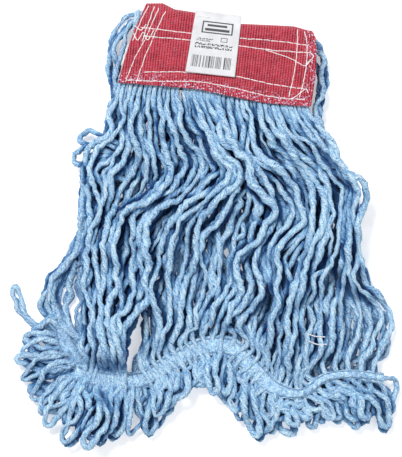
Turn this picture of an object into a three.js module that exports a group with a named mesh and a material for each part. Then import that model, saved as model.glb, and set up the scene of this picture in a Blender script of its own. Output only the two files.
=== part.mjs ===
// Looped-end wet mop head, folded at its headband and lying flat as it does on a shelf.
// Units are millimetres. +Z is up, X runs along the headband's fold, and +Y points from the
// loop ends to the fold. The origin is under the middle of the outline, on the surface it lies on.
import * as THREE from 'three';

// ---- driving dimensions ------------------------------------------------------------------------

// Layers of each half of the headband, from outside in.
const THREAD = 0.6;        // sewing thread, across
const CLOTH = 1.2;         // ribbed mesh of the headband
const MAT = 7.5;           // yarn squeezed between mesh and lining
const LINING = 1.0;        // plain lining that faces the holder's bar
const BAR_GAP = 6;         // room for the holder's bar between the two linings
const GAP = 0.25;          // air between pieces that touch

// Heights of those layers in the lower (back) half. Rows sewn up the sides cross over the rows
// sewn along the band, so they lie one thread further out.
const BACK_SIDE_ROW_Z = 0.1;
const BACK_ROW_Z = BACK_SIDE_ROW_Z + THREAD + GAP;
const BACK_PANEL_Z = BACK_ROW_Z + THREAD + GAP;
const BACK_MAT_Z = BACK_PANEL_Z + CLOTH + GAP;
const BACK_LINING_Z = BACK_MAT_Z + MAT + GAP;
const MIDDLE_Z = BACK_LINING_Z + LINING + BAR_GAP / 2;

// The upper (front) half mirrors the lower one about the middle of the bar gap.
const mirrored = (z, thickness) => 2 * MIDDLE_Z - z - thickness;
const FRONT_LINING_Z = mirrored(BACK_LINING_Z, LINING);
const FRONT_MAT_Z = mirrored(BACK_MAT_Z, MAT);
const FRONT_PANEL_Z = mirrored(BACK_PANEL_Z, CLOTH);
const FRONT_ROW_Z = mirrored(BACK_ROW_Z, THREAD);
const FRONT_SIDE_ROW_Z = mirrored(BACK_SIDE_ROW_Z, THREAD);
const LOOSE_THREAD_Z = FRONT_SIDE_ROW_Z + THREAD + GAP;

// The fold and the headband's outline.
const FOLD_Y = 174.6;      // where the flat halves end and the fold's half round begins
const FOLD_LEFT = -82;
const FOLD_RIGHT = 61;
const SKIRT_TOP_Y = 112;   // where the loose yarn begins, just past the headband's lower edge
const MAT_LEFT = -94;
const MAT_RIGHT = 62;
const LINING_LOW_Y = 122;

// Label, sewn down above LABEL_HINGE_Y and free below it.
const LABEL_THICKNESS = 0.5;
const LABEL_Z = FRONT_ROW_Z + THREAD + GAP;
const LABEL_LEFT = -42;
const LABEL_RIGHT = -1;
const LABEL_TOP_Y = 188;
const LABEL_HINGE_Y = 179;
const LABEL_LOW_Y = 135;

// Tail bands, the flat strips that hold the loops side by side near their ends.
const TAIL_WIDTH = 17;
const FRONT_TAIL_Z = [10, 15.6];
const BACK_TAIL_Z = [1.2, 7];
const TAIL_STITCH_INSET = 5;
const TAIL_CLEARANCE = 2.5;  // between a tail band's edge and the yarn that meets it

// ---- materials ---------------------------------------------------------------------------------

const YARN_BLUE = 0x7fa5cf;
const YARN_DEEP_BLUE = 0x5c86b6;
const MESH_RED = 0xbd3b4c;
const LINING_RED = 0xa8343f;
const THREAD_WHITE = 0xece8e6;
const THREAD_BLUE = 0x9db8d2;
const LABEL_WHITE = 0xf2f1ee;

function cloth(color, roughness) {
  return new THREE.MeshStandardMaterial({ color, roughness, metalness: 0 });
}

// ---- the object's tree -------------------------------------------------------------------------

const mopHead = new THREE.Group();

function addPiece(name, geometry, color, roughness = 0.95) {
  const mesh = new THREE.Mesh(geometry, cloth(color, roughness));
  mesh.name = name;
  mopHead.add(mesh);
  return mesh;
}

// ---- shapes ------------------------------------------------------------------------------------

// A flat sheet with the given outline, standing from z up by its thickness.
function sheet(outline, z, thickness) {
  const shape = new THREE.Shape(outline.map(([x, y]) => new THREE.Vector2(x, y)));
  const geometry = new THREE.ExtrudeGeometry(shape, { depth: thickness, bevelEnabled: false });
  return geometry.translate(0, 0, z);
}

// A half-round sleeve about the fold's axis, between two radii and two ends along X.
function foldSleeve(inner, outer, left, right) {
  const shape = new THREE.Shape();
  shape.absarc(0, 0, outer, -Math.PI / 2, Math.PI / 2, false);
  shape.absarc(0, 0, inner, Math.PI / 2, -Math.PI / 2, true);
  const depth = right - left;
  const geometry = new THREE.ExtrudeGeometry(shape, { depth, bevelEnabled: false, curveSegments: 14 });
  const toRow = new THREE.Matrix4().makeBasis(
    new THREE.Vector3(0, 1, 0), new THREE.Vector3(0, 0, 1), new THREE.Vector3(1, 0, 0));
  return geometry.applyMatrix4(toRow).translate(left, FOLD_Y, MIDDLE_Z);
}

// A thread or strand through the given points, as a six- or eight-sided tube.
function strand(points, radius, sides, steps) {
  const path = new THREE.CatmullRomCurve3(points.map((p) => new THREE.Vector3(...p)));
  const ring = new THREE.Shape();
  for (let i = 0; i < sides; i += 1) {
    const angle = (2 * Math.PI * i) / sides;
    const [x, y] = [radius * Math.cos(angle), radius * Math.sin(angle)];
    if (i === 0) ring.moveTo(x, y);
    else ring.lineTo(x, y);
  }
  return new THREE.ExtrudeGeometry(ring, { steps, bevelEnabled: false, extrudePath: path });
}

// Faces that close a ring of an even number of corners, from its first corner to the opposite one.
function capFaces(count) {
  const half = count / 2;
  const faces = [0, 1, count - 1, half - 1, half, half + 1];
  for (let i = 1; i < half - 1; i += 1) {
    faces.push(i, i + 1, count - i - 1, i, count - i - 1, count - i);
  }
  return faces;
}

// A closed solid through rings of equally many corners.
function loft(rings) {
  const count = rings[0].length;
  const positions = rings.flat().flatMap((p) => [p.x, p.y, p.z]);
  const faces = [];
  for (let r = 0; r < rings.length - 1; r += 1) {
    for (let i = 0; i < count; i += 1) {
      const a = r * count + i;
      const b = r * count + ((i + 1) % count);
      faces.push(a, b, b + count, a, b + count, a + count);
    }
  }
  const last = (rings.length - 1) * count;
  const cap = capFaces(count);
  faces.push(...cap.slice().reverse(), ...cap.map((corner) => last + corner));
  if (enclosedVolume(rings.flat(), faces) < 0) faces.reverse();
  const geometry = new THREE.BufferGeometry();
  geometry.setAttribute('position', new THREE.Float32BufferAttribute(positions, 3));
  geometry.setIndex(faces);
  geometry.computeVertexNormals();
  return geometry;
}

// Signed volume inside a closed set of faces: negative when they point inwards.
function enclosedVolume(points, faces) {
  let volume = 0;
  for (let f = 0; f < faces.length; f += 3) {
    const [a, b, c] = [points[faces[f]], points[faces[f + 1]], points[faces[f + 2]]];
    volume += a.dot(b.clone().cross(c)) / 6;
  }
  return volume;
}

// A level across a yarn bundle: at(share) is the place from its left edge, 0, to its right edge, 1.
function straightLevel(left, right, z) {
  const at = (share) => [left[0] + share * (right[0] - left[0]), left[1] + share * (right[1] - left[1])];
  return { at, z };
}

// Cross-section of a bundle at one level: flat below, crowned above, clear of its neighbours.
function bundleRing({ at, z: [bottom, top] }) {
  const [left, right] = [at(0), at(1)];
  const margin = GAP / Math.hypot(right[0] - left[0], right[1] - left[1]);
  const middle = (bottom + top) / 2;
  const shoulder = top - 0.07 * (top - bottom);
  const corners = [
    [0, middle], [0.1, bottom], [0.36, bottom], [0.64, bottom], [0.9, bottom],
    [1, middle], [0.9, shoulder], [0.64, top], [0.36, top], [0.1, shoulder],
  ];
  return corners.map(([share, z]) => {
    const [x, y] = at(margin + share * (1 - 2 * margin));
    return new THREE.Vector3(x, y, z);
  });
}

// A bundle of yarn through its levels, smoothed between them.
const BUNDLE_STEPS = 3;    // sections between one level and the next
function bundle(levels) {
  const levelRings = levels.map(bundleRing);
  const edges = levelRings[0].map((_, corner) => (
    new THREE.CatmullRomCurve3(levelRings.map((ring) => ring[corner]), false, 'centripetal')));
  const sections = BUNDLE_STEPS * (levels.length - 1);
  const rings = [];
  for (let i = 0; i <= sections; i += 1) {
    const ring = edges.map((edge) => edge.getPoint(i / sections));
    rings.push(ring.map(({ x, y, z }) => new THREE.Vector3(x, y, Math.max(0, z))));
  }
  return loft(rings);
}

// ---- headband ----------------------------------------------------------------------------------

// Outline of one half of the headband: a slanted left edge and a wavy lower edge.
const PANEL_OUTLINE = [
  [-84, FOLD_Y - GAP], [-91, 148], [-98, 120], [-60, 121], [-30, 121.5], [0, 118.5],
  [25, 116.5], [48, 117], [65, 118], [66, 145], [63, FOLD_Y - GAP],
];
const LINING_OUTLINE = [
  [-83, FOLD_Y - GAP], [-93, LINING_LOW_Y], [62, LINING_LOW_Y], [61, FOLD_Y - GAP],
];
const MAT_OUTLINE = [
  [-83, FOLD_Y - GAP], [MAT_LEFT, SKIRT_TOP_Y + GAP], [MAT_RIGHT, SKIRT_TOP_Y + GAP],
  [61, FOLD_Y - GAP],
];

function addHeadband() {
  addPiece('headband_back_panel', sheet(PANEL_OUTLINE, BACK_PANEL_Z, CLOTH), MESH_RED);
  addPiece('headband_back_lining', sheet(LINING_OUTLINE, BACK_LINING_Z, LINING), LINING_RED);
  addPiece('headband_front_panel', sheet(PANEL_OUTLINE, FRONT_PANEL_Z, CLOTH), MESH_RED);
  addPiece('headband_front_lining', sheet(LINING_OUTLINE, FRONT_LINING_Z, LINING), LINING_RED);
  addPiece('back_yarn_mat', sheet(MAT_OUTLINE, BACK_MAT_Z, MAT), YARN_DEEP_BLUE);
  addPiece('front_yarn_mat', sheet(MAT_OUTLINE, FRONT_MAT_Z, MAT), YARN_BLUE);

  const liningRadius = MIDDLE_Z - BACK_LINING_Z;
  const matRadius = MIDDLE_Z - BACK_MAT_Z;
  const coverRadius = MIDDLE_Z - BACK_PANEL_Z;
  const liningFold = foldSleeve(BAR_GAP / 2, liningRadius, FOLD_LEFT + 1, FOLD_RIGHT - 1);
  const yarnFold = foldSleeve(matRadius - MAT, matRadius, FOLD_LEFT + 1, FOLD_RIGHT - 1);
  const coverFold = foldSleeve(coverRadius - CLOTH, coverRadius, FOLD_LEFT, FOLD_RIGHT);
  addPiece('headband_fold_lining', liningFold, LINING_RED);
  addPiece('yarn_fold', yarnFold, YARN_DEEP_BLUE);
  addPiece('headband_fold_cover', coverFold, MESH_RED);
}

// ---- sewing threads of the headband ------------------------------------------------------------

// Rows as seen on the front half. The back half carries the same rows on its own face.
const LONG_ROWS = {
  upper_row_a: [[-85, 168], [-40, 168], [0, 168.5], [30, 169.5], [58, 169]],
  upper_row_b: [[-82, 161], [-40, 162], [0, 162], [30, 161.5], [60, 163]],
  lower_row_a: [[-78, 131], [-40, 135], [0, 136], [30, 133], [59, 132]],
  lower_row_b: [[-91, 122.5], [-60, 125], [-30, 128], [0, 126], [30, 122.5], [60, 123]],
};
const SIDE_ROWS = {
  left_row_a: [[-92, 121], [-88, 140], [-81, 160], [-77, 173]],
  left_row_b: [[-83, 121], [-79, 140], [-73, 160], [-69, 173]],
  right_row_a: [[46, 124], [48.5, 145], [48, 173]],
  right_row_b: [[55, 124], [57.5, 145], [56, 173]],
};
const LOOSE_THREAD = [[22, 161], [45, 156], [57, 151.5], [60.5, 156]];
const ROW_STEPS = 8;
const THREAD_SIDES = 6;

function addThread(name, points, z) {
  const path = points.map(([x, y]) => [x, y, z + THREAD / 2]);
  addPiece(name, strand(path, THREAD / 2, THREAD_SIDES, ROW_STEPS), THREAD_WHITE, 0.8);
}

function addHeadbandThreads() {
  for (const [name, points] of Object.entries(LONG_ROWS)) {
    addThread(`front_${name}`, points, FRONT_ROW_Z);
    addThread(`back_${name}`, points, BACK_ROW_Z);
  }
  for (const [name, points] of Object.entries(SIDE_ROWS)) {
    addThread(`front_${name}`, points, FRONT_SIDE_ROW_Z);
    addThread(`back_${name}`, points, BACK_SIDE_ROW_Z);
  }
  addThread('front_loose_thread', LOOSE_THREAD, LOOSE_THREAD_Z);
}

// ---- label -------------------------------------------------------------------------------------

function addLabel() {
  const rectangle = (left, right, low, high) => [[left, low], [right, low], [right, high], [left, high]];
  const flap = rectangle(LABEL_LEFT, LABEL_RIGHT, LABEL_LOW_Y, LABEL_HINGE_Y - GAP);
  const head = rectangle(LABEL_LEFT, LABEL_RIGHT, LABEL_HINGE_Y + GAP, LABEL_TOP_Y);
  addPiece('label_flap', sheet(flap, LABEL_Z, LABEL_THICKNESS), LABEL_WHITE, 0.6);
  addPiece('label_sewn_end', sheet(head, LABEL_Z, LABEL_THICKNESS), LABEL_WHITE, 0.6);

  const threadZ = LABEL_Z + LABEL_THICKNESS + GAP + THREAD / 2;
  const row = [[LABEL_LEFT + 3, 183, threadZ], [-22, 183.4, threadZ], [LABEL_RIGHT - 3, 183, threadZ]];
  addPiece('label_stitch', strand(row, THREAD / 2, THREAD_SIDES, 4), THREAD_WHITE, 0.8);
}

// ---- tail bands --------------------------------------------------------------------------------

// Middle lines of the two tail bands, from left to right.
const FRONT_TAIL = [
  [-108, -129], [-80, -132], [-52, -129], [-28, -112], [-2, -95], [20, -92], [40, -106],
  [62, -122], [86, -124], [104, -109], [126, -103], [154, -103],
];
const BACK_TAIL = [
  [-126, -86], [-118, -106], [-98, -124], [-62, -134], [-36, -120], [-4, -101], [26, -99],
  [58, -112], [90, -115], [120, -107], [150, -102],
];

// A point on a tail band: t runs along it, offset is measured towards the headband.
function tailCurve(points) {
  const curve = new THREE.CatmullRomCurve3(points.map(([x, y]) => new THREE.Vector3(x, y, 0)));
  return (t, offset) => {
    const point = curve.getPointAt(t);
    const along = curve.getTangentAt(t);
    return [point.x - along.y * offset, point.y + along.x * offset];
  };
}
const onFrontTail = tailCurve(FRONT_TAIL);
const onBackTail = tailCurve(BACK_TAIL);
const TAIL_SECTIONS = 26;

function addTailBand(half, onTail, [bottom, top], color) {
  const rings = [];
  for (let i = 0; i <= TAIL_SECTIONS; i += 1) {
    const [x0, y0] = onTail(i / TAIL_SECTIONS, TAIL_WIDTH / 2);
    const [x1, y1] = onTail(i / TAIL_SECTIONS, -TAIL_WIDTH / 2);
    const corner = (x, y, z) => new THREE.Vector3(x, y, z);
    rings.push([corner(x0, y0, bottom), corner(x0, y0, top), corner(x1, y1, top), corner(x1, y1, bottom)]);
  }
  addPiece(`${half}_tail_band`, loft(rings), color);

  const rows = { upper: TAIL_WIDTH / 2 - TAIL_STITCH_INSET, lower: TAIL_STITCH_INSET - TAIL_WIDTH / 2 };
  const threadZ = half === 'front' ? top + GAP + THREAD / 2 : bottom - GAP - THREAD / 2;
  for (const [name, offset] of Object.entries(rows)) {
    const path = [];
    for (let i = 0; i <= 12; i += 1) path.push([...onTail(0.01 + (0.98 * i) / 12, offset), threadZ]);
    addPiece(`${half}_tail_stitch_${name}`, strand(path, THREAD / 2, THREAD_SIDES, 30), THREAD_BLUE, 0.9);
  }
}

// ---- loose yarn --------------------------------------------------------------------------------

// Each level lists the edges of the bundles from left to right. The bundles left of the split
// and right of it part near the tail band and leave a gap that shows what the head lies on.
const FRONT_SKIRT = [
  { y: 111.7, z: [19.4, 26.6], left: [-98, -78, -57], right: [-57, -37, -16, 4, 25, 45, 66] },
  { y: 85, z: [14.6, 28], left: [-101, -81, -60], right: [-60, -38, -15, 9, 34, 60, 88] },
  { y: 52, z: [15.4, 32], left: [-126, -98, -68], right: [-68, -40, -12, 18, 50, 82, 115] },
  { y: 12, z: [15.8, 34], left: [-120, -92, -64], right: [-64, -36, -6, 26, 58, 90, 122] },
  { y: -30, z: [15.4, 32], left: [-117, -92, -66], right: [-64, -36, -6, 26, 60, 97, 134] },
  { y: -72, z: [12.9, 24], left: [-112, -90, -67], right: [-53, -28, 0, 30, 66, 110, 155] },
];
const FRONT_TAIL_EDGES = { left: [0, 0.075, 0.145], right: [0.185, 0.32, 0.45, 0.58, 0.72, 0.86, 1] };

const BACK_SKIRT = [
  { y: 111.7, z: [3.2, 10.8], left: [-98, -70, -43], right: [-43, -7, 30, 66] },
  { y: 85, z: [0, 13.2], left: [-103, -73, -43], right: [-43, -3, 38, 78] },
  { y: 52, z: [0, 13.9], left: [-122, -86, -50], right: [-50, 2, 55, 108] },
  { y: 12, z: [0, 14.2], left: [-120, -88, -58], right: [-58, 0, 60, 118] },
  { y: -30, z: [0, 13.8], left: [-134, -100, -64], right: [-62, 2, 66, 130] },
  { y: -66, z: [0, 11.2], left: [-144, -104, -68], right: [-52, 12, 80, 150] },
];
const BACK_TAIL_EDGES = { left: [0, 0.09, 0.19], right: [0.245, 0.5, 0.75, 1] };

// The level of a bundle's end that follows a tail band between two places on it.
function tailLevel(onTail, [first, last], offset, z) {
  return { at: (share) => onTail(first + share * (last - first), offset), z };
}

function addSkirt(half, skirt, edges, onTail, tailZ, color) {
  const offset = TAIL_WIDTH / 2 + TAIL_CLEARANCE;
  let number = 1;
  for (const side of ['left', 'right']) {
    for (let i = 0; i < edges[side].length - 1; i += 1) {
      const levels = skirt.map(({ y, z, [side]: x }) => straightLevel([x[i], y], [x[i + 1], y], z));
      levels.push(tailLevel(onTail, edges[side].slice(i, i + 2), offset, tailZ));
      addPiece(`${half}_yarn_bundle_${number}`, bundle(levels), color);
      number += 1;
    }
  }
}

// Loop ends below a tail band: from its lower edge between two places to the tips.
const FRONT_FRINGE = {
  far_left: { edge: [0, 0.085], tips: [[-121, -180], [-88, -188]] },
  left: { edge: [0.085, 0.215], tips: [[-84, -187], [-32, -172]] },
  middle: { edge: [0.22, 0.57], tips: [[-36, -152], [36, -142]] },
  right: { edge: [0.575, 0.77], tips: [[40, -156], [80, -160]] },
  far_right: { edge: [0.775, 1], tips: [[88, -152], [170, -140]] },
};
const BACK_FRINGE = {
  far_left: { edge: [0, 0.1], tips: [[-157, -98], [-152, -150]] },
  left: { edge: [0.105, 0.3], tips: [[-146, -158], [-70, -176]] },
  middle: { edge: [0.31, 0.62], tips: [[-40, -150], [44, -140]] },
  right: { edge: [0.63, 1], tips: [[50, -152], [162, -134]] },
};

function addFringe(half, fringe, onTail, tailZ, tipZ, color) {
  const offset = -TAIL_WIDTH / 2 - TAIL_CLEARANCE;
  for (const [name, { edge, tips }] of Object.entries(fringe)) {
    const start = tailLevel(onTail, edge, offset, tailZ);
    const end = straightLevel(...tips, tipZ);
    const halfway = (a, b) => a.map((value, k) => (value + b[k]) / 2);
    const middle = { at: (share) => halfway(start.at(share), end.at(share)), z: halfway(tailZ, tipZ) };
    addPiece(`${half}_fringe_${name}`, bundle([start, middle, end]), color);
  }
}

// Slack strands of the back half that bulge out beside the headband, and one that strayed.
function addSlackStrands() {
  const sideWidth = 9;
  const across = ([x, y]) => straightLevel([x - sideWidth / 2, y], [x + sideWidth / 2, y], [0.5, 10]);
  const leftBulge = [[-105, 113], [-107, 130], [-111, 150], [-104, 168], [-91, 183]];
  const rightBulge = [[73, 113], [76, 132], [76, 150], [72, 166], [69, 177]];
  addPiece('slack_yarn_left', bundle(leftBulge.map(across)), YARN_DEEP_BLUE);
  addPiece('slack_yarn_right', bundle(rightBulge.map(across)), YARN_DEEP_BLUE);

  const radius = 3.2;
  const strayPath = [[-141, -84], [-150, -86], [-158, -80], [-163, -70], [-166.8, -61]];
  const stray = strayPath.map(([x, y]) => [x, y, radius]);
  addPiece('stray_loop', strand(stray, radius, 8, 10), YARN_BLUE);
}

addHeadband();
addHeadbandThreads();
addLabel();
addTailBand('front', onFrontTail, FRONT_TAIL_Z, YARN_BLUE);
addTailBand('back', onBackTail, BACK_TAIL_Z, YARN_DEEP_BLUE);
addSkirt('front', FRONT_SKIRT, FRONT_TAIL_EDGES, onFrontTail, [10.2, 17], YARN_BLUE);
addSkirt('back', BACK_SKIRT, BACK_TAIL_EDGES, onBackTail, [0, 8], YARN_DEEP_BLUE);
addFringe('front', FRONT_FRINGE, onFrontTail, [10, 16], [8.4, 14], YARN_BLUE);
addFringe('back', BACK_FRINGE, onBackTail, [0, 7.4], [0, 7], YARN_DEEP_BLUE);
addSlackStrands();

export default mopHead;
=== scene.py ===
"""Looped-end wet mop head lying flat: twisted yarn loops, a folded mesh headband, tail bands, a label.

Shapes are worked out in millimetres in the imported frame: +Z up, X along the headband's fold, +Y from
the loop ends to the fold. They turn into metres when a mesh is made.
"""

import math

import bpy
import numpy as np
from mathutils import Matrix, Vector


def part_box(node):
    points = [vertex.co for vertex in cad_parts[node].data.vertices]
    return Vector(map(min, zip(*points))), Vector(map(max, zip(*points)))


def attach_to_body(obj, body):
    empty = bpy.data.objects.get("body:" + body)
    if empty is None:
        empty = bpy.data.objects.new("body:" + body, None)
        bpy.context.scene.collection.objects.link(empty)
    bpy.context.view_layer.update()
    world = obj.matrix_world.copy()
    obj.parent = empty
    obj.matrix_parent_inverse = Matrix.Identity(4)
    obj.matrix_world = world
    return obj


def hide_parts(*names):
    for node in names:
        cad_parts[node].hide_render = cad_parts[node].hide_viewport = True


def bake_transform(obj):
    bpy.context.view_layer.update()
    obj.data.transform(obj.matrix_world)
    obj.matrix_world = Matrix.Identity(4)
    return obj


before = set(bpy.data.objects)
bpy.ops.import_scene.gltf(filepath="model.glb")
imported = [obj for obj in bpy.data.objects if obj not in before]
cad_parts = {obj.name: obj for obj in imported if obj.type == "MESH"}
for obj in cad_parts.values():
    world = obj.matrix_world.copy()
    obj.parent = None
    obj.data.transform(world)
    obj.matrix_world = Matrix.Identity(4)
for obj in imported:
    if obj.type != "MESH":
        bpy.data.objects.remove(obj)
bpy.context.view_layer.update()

rng = np.random.default_rng(24)


def box_mm(node):
    """Lowest and highest corner of a CAD node, in millimetres."""
    low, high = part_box(node)
    return np.array(low) * 1000, np.array(high) * 1000


# ---- driving sizes -----------------------------------------------------------------------------

YARN_RADIUS = 2.75
YARN_STEP = 2.0          # between two rings of a strand
TWIST_PITCH = 26.0       # one full turn of the four plies
STRAND_FLATNESS = 0.86   # a strand's height over its width
HEM_Y = 113.0            # strands are held by the headband above this
INSIDE_Y = 131.0         # and start this far up, inside it

PANEL_LOW, PANEL_HIGH = box_mm("headband_front_panel")
BACK_PANEL_LOW = box_mm("headband_back_panel")[0]
LINING_LOW, LINING_HIGH = box_mm("headband_front_lining")
FOLD_Y = PANEL_HIGH[1]
MIDDLE_Z = (PANEL_HIGH[2] + BACK_PANEL_LOW[2]) / 2
COVER_RADIUS = (PANEL_LOW[2] + PANEL_HIGH[2]) / 2 - MIDDLE_Z
MAT_Z = sum(corner[2] for corner in box_mm("front_yarn_mat")) / 2
COVER_UNDERSIDE = MIDDLE_Z + COVER_RADIUS - 1.9      # just under the cover's deepest dips
LINING_TOP = LINING_HIGH[2] + 0.2
LINING_EDGE_Y = LINING_LOW[1] - 1
HEM_RISE = 0.7           # how steeply the strands swell up below the hem
LABEL_LOW, LABEL_HIGH = box_mm("label_flap")


# ---- camera ------------------------------------------------------------------------------------

VIEW_CENTRE = (-14.9, 5.3)     # point under the camera
VIEW_HEIGHT = 388.5            # what the frame's long side covers at the yarn's height
CAMERA_DISTANCE = 1500.0
CAMERA_ROLL = 6.5


def make_camera():
    data = bpy.data.cameras.new("studio_camera")
    data.sensor_width = 36.0
    data.lens = data.sensor_width * CAMERA_DISTANCE / VIEW_HEIGHT
    camera = bpy.data.objects.new("studio_camera", data)
    camera.location = (VIEW_CENTRE[0] / 1000, VIEW_CENTRE[1] / 1000, (CAMERA_DISTANCE + MIDDLE_Z) / 1000)
    camera.rotation_euler = (0, 0, math.radians(CAMERA_ROLL))
    bpy.context.scene.collection.objects.link(camera)
    bpy.context.scene.camera = camera


make_camera()


# ---- curves ------------------------------------------------------------------------------------

def evenly_spaced(dense, step):
    """The same line with its points about one step apart."""
    lengths = np.concatenate([[0], np.cumsum(np.linalg.norm(np.diff(dense, axis=0), axis=1))])
    count = max(4, int(round(lengths[-1] / step)) + 1)
    at = np.linspace(0, lengths[-1], count)
    return np.column_stack([np.interp(at, lengths, dense[:, k]) for k in range(dense.shape[1])])


def curve_through(points, step):
    """A smooth centripetal curve through the points, evenly spaced."""
    p = np.asarray(points, float)
    knots = np.concatenate([[0], np.cumsum(np.linalg.norm(np.diff(p, axis=0), axis=1) ** 0.5)])
    gap = np.diff(knots)[:, None]
    slope = np.diff(p, axis=0) / gap
    tangent = np.empty_like(p)
    tangent[0], tangent[-1] = slope[0], slope[-1]
    tangent[1:-1] = (slope[:-1] * gap[1:] + slope[1:] * gap[:-1]) / (gap[:-1] + gap[1:])
    pieces = []
    for i in range(len(p) - 1):
        t = np.linspace(0, 1, 24, endpoint=i == len(p) - 2)[:, None]
        width = gap[i]
        pieces.append((2 * t**3 - 3 * t**2 + 1) * p[i] + (t**3 - 2 * t**2 + t) * width * tangent[i]
                      + (3 * t**2 - 2 * t**3) * p[i + 1] + (t**3 - t**2) * width * tangent[i + 1])
    return evenly_spaced(np.vstack(pieces), step)


def smoothstep(value):
    t = np.clip(value, 0, 1)
    return t * t * (3 - 2 * t)


def free_between_ends(count, reach):
    """0 at both ends of a line of so many points, and 1 from reach points in."""
    along = np.arange(count)
    return smoothstep(along / reach) * smoothstep(along[::-1] / reach)


def along_line(line, value):
    """What a line of (place, number) pairs says at a value."""
    return np.interp(value, [a for a, _ in line], [b for _, b in line])


def unit(vectors):
    return vectors / np.maximum(np.linalg.norm(vectors, axis=-1, keepdims=True), 1e-9)


def blurred(values, times):
    """Values along a line, averaged with their neighbours several times."""
    for _ in range(times):
        padded = np.concatenate([values[:1], values, values[-1:]])
        values = (padded[:-2] + 2 * padded[1:-1] + padded[2:]) / 4
    return values


class TailBand:
    """Middle line of a tail band. Places on it run from 0 at the left to 1 at the right."""

    def __init__(self, points, width):
        self.line = curve_through(points, 1.0)
        self.share = np.linspace(0, 1, len(self.line))
        along = unit(np.gradient(self.line, axis=0))
        self.normal = np.column_stack([-along[:, 1], along[:, 0]])
        self.width = width

    def at(self, place, offset):
        """Points at places along the band, offset towards the headband."""
        point = [np.interp(place, self.share, self.line[:, k]) for k in (0, 1)]
        normal = [np.interp(place, self.share, self.normal[:, k]) for k in (0, 1)]
        return np.stack([point[0] + normal[0] * offset, point[1] + normal[1] * offset], axis=-1)

    def away(self, path):
        """Distance of each path point from the band's middle line."""
        gaps = path[:, None, :2] - self.line[None, ::3]
        return np.sqrt((gaps**2).sum(axis=2)).min(axis=1)


FRONT_TAIL = TailBand([
    (-108, -129), (-80, -132), (-52, -129), (-28, -112), (-2, -95), (20, -92), (40, -106),
    (62, -122), (86, -124), (104, -109), (126, -103), (154, -103)], 17)
BACK_TAIL = TailBand([
    (-126, -86), (-118, -106), (-98, -124), (-62, -134), (-36, -120), (-4, -101), (26, -99),
    (58, -112), (90, -115), (120, -107), (150, -102)], 17)


# ---- courses that the yarn takes ---------------------------------------------------------------

# Each guide is a place on the tail band and the points of one leg from the headband down to it.
# Legs between two guides of a block follow both. The blocks part at the gap near the tail band.
FRONT_LEFT = [
    (0.015, [(-99, 116), (-99, 98), (-99, 83), (-111, 73), (-123, 65), (-126, 51), (-118, 32),
             (-112, 6), (-113, -24), (-111, -52), (-107, -84)]),
    (0.040, [(-95, 116), (-97, 98), (-97, 80), (-103, 68), (-116, 61), (-121, 49), (-113, 32),
             (-108, 8), (-109, -24), (-104, -52), (-100, -84)]),
    (0.070, [(-88, 116), (-90, 98), (-90, 80), (-89, 64), (-92, 52), (-99, 42), (-96, 30),
             (-98, 10), (-102, -20), (-98, -50), (-93, -84)]),
    (0.105, [(-66, 116), (-65, 98), (-62, 82), (-57, 68), (-50, 56), (-50, 44), (-60, 30),
             (-78, 14), (-87, -16), (-85, -50), (-83, -84)]),
    (0.155, [(-46, 116), (-40, 98), (-30, 82), (-20, 66), (-16, 55), (-25, 42), (-44, 27),
             (-56, 10), (-57, -18), (-57, -60), (-66, -86)]),
]
FRONT_RIGHT = [
    (0.21, [(-43, 116), (-36, 98), (-26, 82), (-16, 66), (-11, 55), (-18, 42), (-37, 27),
            (-55, 8), (-64, -20), (-64, -60), (-51, -86)]),
    (0.275, [(-34, 116), (-25, 98), (-15, 82), (-5, 66), (3, 57), (0, 43), (-16, 28),
            (-33, 8), (-40, -20), (-43, -52), (-36, -82)]),
    (0.355, [(-24, 116), (-16, 98), (-8, 84), (0, 70), (12, 60), (14, 46), (2, 30),
            (-10, 8), (-10, -16), (-8, -40), (-16, -68)]),
    (0.46, [(-12, 116), (-6, 98), (-2, 84), (8, 70), (20, 58), (34, 42), (42, 25),
            (34, 6), (24, -16), (30, -42), (14, -70)]),
    (0.57, [(4, 116), (9, 98), (12, 84), (24, 68), (38, 54), (54, 38), (57, 20),
            (50, 0), (47, -24), (52, -50), (46, -78)]),
    (0.675, [(24, 116), (30, 98), (42, 84), (58, 68), (72, 56), (80, 40), (82, 20),
            (76, 0), (70, -24), (68, -50), (68, -80)]),
    (0.79, [(44, 116), (54, 98), (72, 84), (92, 66), (104, 54), (103, 38), (103, 20),
            (101, 0), (99, -24), (97, -50), (98, -78)]),
    (0.915, [(58, 116), (68, 101), (86, 84), (102, 66), (113, 55), (112, 38), (112, 20),
            (116, 0), (123, -24), (133, -50), (131, -76)]),
    (0.99, [(65, 114), (76, 101), (92, 84), (104, 67), (119, 56), (117, 38), (117, 20),
            (122, 0), (133, -26), (159, -56), (158, -78)]),
]
BACK_LEFT = [
    (0.09, [(-98, 116), (-101, 98), (-102, 80), (-110, 66), (-121, 54), (-119, 38), (-115, 18),
            (-115, -4), (-124, -30), (-137, -52), (-139, -80)]),
    (0.13, [(-84, 116), (-92, 92), (-98, 66), (-104, 40), (-110, 14), (-114, -10), (-120, -30),
            (-128, -46), (-133, -58), (-130, -74), (-120, -92)]),
    (0.19, [(-46, 116), (-50, 92), (-55, 66), (-56, 40), (-57, 14), (-58, -10), (-59, -30),
            (-60, -46), (-62, -60), (-72, -78), (-79, -98)]),
]
BACK_RIGHT = [
    (0.30, [(-44, 116), (-50, 92), (-55, 66), (-57, 40), (-58, 14), (-60, -10), (-61, -30),
            (-60, -46), (-57, -60), (-50, -78), (-46, -96)]),
    (0.58, [(10, 116), (12, 92), (14, 66), (16, 40), (18, 14), (20, -10), (22, -30),
            (24, -46), (26, -60), (27, -70), (27, -80)]),
    (0.99, [(64, 114), (74, 96), (89, 74), (102, 52), (109, 30), (115, 8), (124, -16),
            (139, -40), (152, -56), (154, -70), (154, -82)]),
]

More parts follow.
